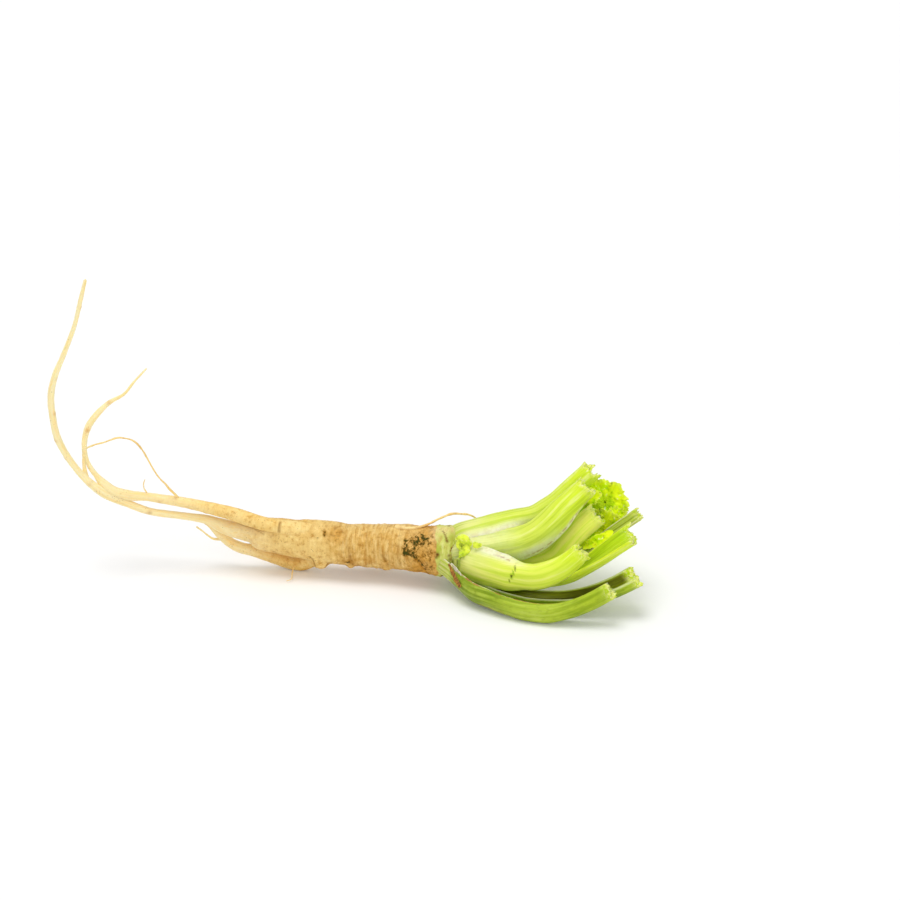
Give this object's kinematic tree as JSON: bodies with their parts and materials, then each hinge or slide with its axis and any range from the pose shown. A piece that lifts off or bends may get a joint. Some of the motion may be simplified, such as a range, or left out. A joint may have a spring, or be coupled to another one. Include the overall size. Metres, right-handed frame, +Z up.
{
  "type": "coriander root",
  "caption": "Coriander taproot with curling side roots and a crown of short cut leaf stalks, lying on its side.",
  "frame": {"origin": "on the table, under the middle of the whole root as it lies", "axes": "+X from the root's tail to its cut leaf stalks, +Y to the back, away from the viewer, +Z up"},
  "size_m": [0.1547, 0.0502, 0.0841],
  "materials": {
    "root_bark": "satin",
    "rootlet": "satin",
    "leaf_stalk": "satin",
    "young_leaf": "satin",
    "dry_sheath": "matte"
  },
  "bodies": {
    "root": {"taproot": "root_bark", "side_root_long": "rootlet", "side_root_low": "rootlet", "side_root_back": "rootlet", "rootlet_arched": "rootlet", "rootlet_low": "rootlet", "rootlet_over_collar": "rootlet", "hair_root_table": "rootlet", "hair_root_upper": "rootlet", "stalk_heart": "leaf_stalk", "stalk_inner_back": "leaf_stalk", "stalk_thin": "leaf_stalk", "stalk_channel": "leaf_stalk", "stalk_upper_front": "leaf_stalk", "stalk_top": "leaf_stalk", "stalk_back": "leaf_stalk", "stalk_low": "leaf_stalk", "stalk_back_low": "leaf_stalk", "stalk_front": "leaf_stalk", "stalk_low_front": "leaf_stalk", "young_leaf": "young_leaf", "crown_bud": "young_leaf", "crown_bud_small": "young_leaf", "dry_sheath_brown": "dry_sheath", "dry_sheath_pale": "dry_sheath"}
  },
  "joints": []
}
